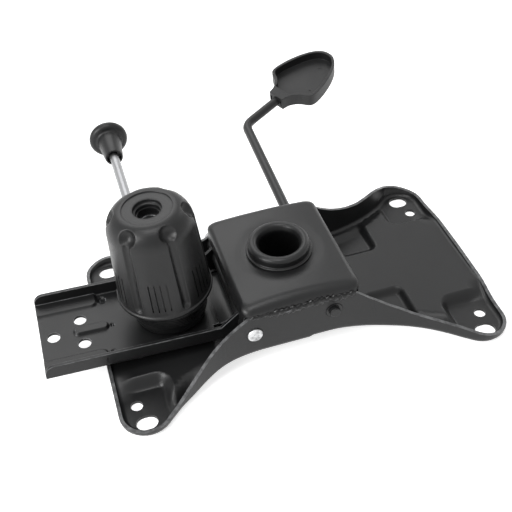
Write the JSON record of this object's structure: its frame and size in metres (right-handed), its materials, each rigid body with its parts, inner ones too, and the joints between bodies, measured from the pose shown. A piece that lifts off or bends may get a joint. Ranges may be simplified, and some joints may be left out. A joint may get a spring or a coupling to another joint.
{
  "type": "office chair tilt mechanism",
  "caption": "Push back tilt mechanism for an office chair: pressed seat plate, taper socket, tilting back bracket, spring tension knob, gas lever and pull-out tilt lock.",
  "frame": {"origin": "centre of the seat slot pattern, level with the undersides of the plate's pads", "axes": "the part lies upside down: +Z points from the seat plate up to the gas lift's socket, +X to the seat's front, and +Y to the gas lever and the tilt lock"},
  "size_m": [0.3255, 0.3347, 0.1196],
  "materials": {
    "coated_steel": "satin black powder coat over pressed steel",
    "bare_steel": "oiled spring and tube steel",
    "plated_steel": "bright zinc-plated steel",
    "black_plastic": "finely textured black moulding",
    "black_rubber": "matt black rubber"
  },
  "bodies": {
    "seat_frame": {"seat_plate": "coated_steel", "column_housing": "coated_steel", "taper_socket": "coated_steel", "housing_welds": "coated_steel", "pivot_pin": "plated_steel", "pivot_circlip": "bare_steel", "pivot_bush_near": "black_plastic", "pivot_bush_far": "black_plastic", "tension_bolt": "plated_steel", "bolt_washer": "plated_steel", "rest_pads": "black_rubber", "lock_guide": "coated_steel", "lever_bush_near": "black_plastic", "lever_bush_far": "black_plastic", "tension_spring": "bare_steel"},
    "back_arm": {"back_bracket": "coated_steel", "pivot_sleeve": "bare_steel", "spring_cup": "black_plastic"},
    "spring_follower": {"thrust_washer": "plated_steel"},
    "knob": {"tension_knob": "black_plastic", "knob_insert": "plated_steel"},
    "gas_lever": {"gas_lever_rod": "coated_steel", "lever_paddle": "black_plastic", "trigger_tab": "coated_steel", "lever_clip": "bare_steel"},
    "tilt_lock": {"lock_rod": "plated_steel", "lock_knob": "black_plastic", "lock_clip": "bare_steel"}
  },
  "joints": [
    {"name": "back_tilt", "type": "hinge", "parent": "seat_frame", "child": "back_arm", "pos_m": [-0.04, 0, 0.0315], "axis": [0, 1, 0], "range_deg": [0, 12], "stiffness_Nm_per_rad": 60, "springref_deg": -2.86, "deforming": ["tension_spring"]},
    {"name": "tension_travel", "type": "slide", "parent": "seat_frame", "child": "spring_follower", "axis": [-0.0419, 0, 0.9991], "range_m": [-0.0035, 0.0035], "deforming": ["tension_spring"]},
    {"name": "tension_turn", "type": "hinge", "parent": "spring_follower", "child": "knob", "pos_m": [-0.08845, 0, 0.0105], "axis": [-0.0419, 0, 0.9991], "range_deg": [-720, 720]},
    {"name": "lever_pull", "type": "hinge", "parent": "seat_frame", "child": "gas_lever", "pos_m": [0.0196, 0, 0.035], "axis": [0.0297, 0.9996, 0], "range_deg": [0, 10]},
    {"name": "lock_push", "type": "slide", "parent": "seat_frame", "child": "tilt_lock", "axis": [0, -1, 0], "range_m": [0, 0.01]}
  ],
  "couplings": [
    {"joint": "tension_turn", "follows": "tension_travel", "rad_per_m": 3590.4}
  ]
}
